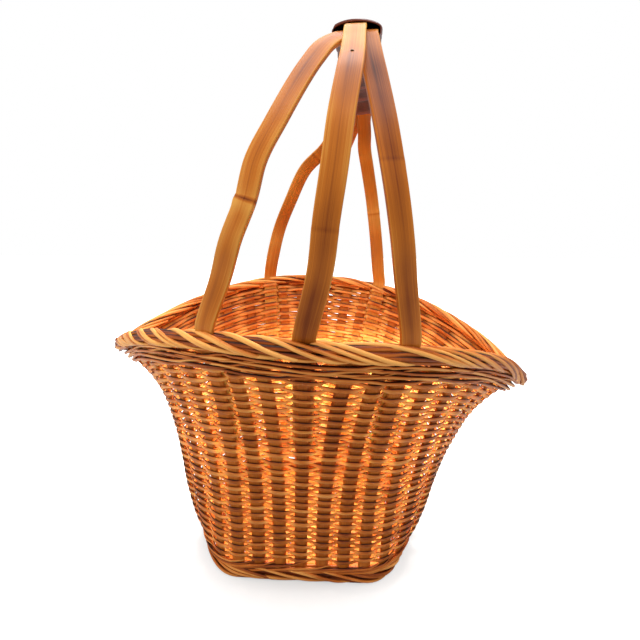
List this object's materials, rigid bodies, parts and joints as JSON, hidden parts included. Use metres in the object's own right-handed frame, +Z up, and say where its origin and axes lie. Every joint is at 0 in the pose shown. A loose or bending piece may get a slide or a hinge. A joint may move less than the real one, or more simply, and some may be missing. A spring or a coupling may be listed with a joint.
{
  "type": "mushroom foraging basket",
  "caption": "Woven splint gathering basket with a boat shaped mouth, a small flat bottom and a fixed three-strip bamboo arch handle with a leather grip.",
  "frame": {"origin": "middle of the flat bottom, on the surface that the basket stands on", "axes": "+Z up; X along the long mouth between its two pointed tips; Y across, in the plane of the arched handle, with the pictured side at -Y"},
  "size_m": [0.4381, 0.345, 0.4872],
  "materials": {
    "splint": "split wood, satin with vertical grain",
    "weaver_rod": "round and half round rods, varnished satin",
    "border_rod": "long rods, golden, varnished satin",
    "bamboo": "bent bamboo strips with fine grain and nodes, varnished",
    "grip_leather": "dark brown, worn lighter along its edges",
    "brad_metal": "small dulled brad head"
  },
  "bodies": {
    "root": {"bottom_mat": "splint", "foot_border": "border_rod", "woven_wall": "weaver_rod", "wale_band": "border_rod", "rim_border": "border_rod", "stake_01": "splint", "stake_02": "splint", "stake_03": "splint", "stake_04": "splint", "stake_05": "splint", "stake_06": "splint", "stake_07": "splint", "stake_08": "splint", "stake_09": "splint", "stake_10": "splint", "stake_11": "splint", "stake_12": "splint", "stake_13": "splint", "stake_14": "splint", "stake_15": "splint", "stake_16": "splint", "stake_17": "splint", "stake_18": "splint", "stake_19": "splint", "stake_20": "splint", "stake_21": "splint", "stake_22": "splint", "stake_23": "splint", "stake_24": "splint", "stake_25": "splint", "stake_26": "splint", "stake_27": "splint", "stake_28": "splint", "stake_29": "splint", "stake_30": "splint", "stake_31": "splint", "stake_32": "splint", "handle_strip_middle": "bamboo", "handle_strip_left": "bamboo", "handle_strip_right": "bamboo", "grip_wrap": "grip_leather", "brad_near": "brad_metal"}
  },
  "joints": []
}
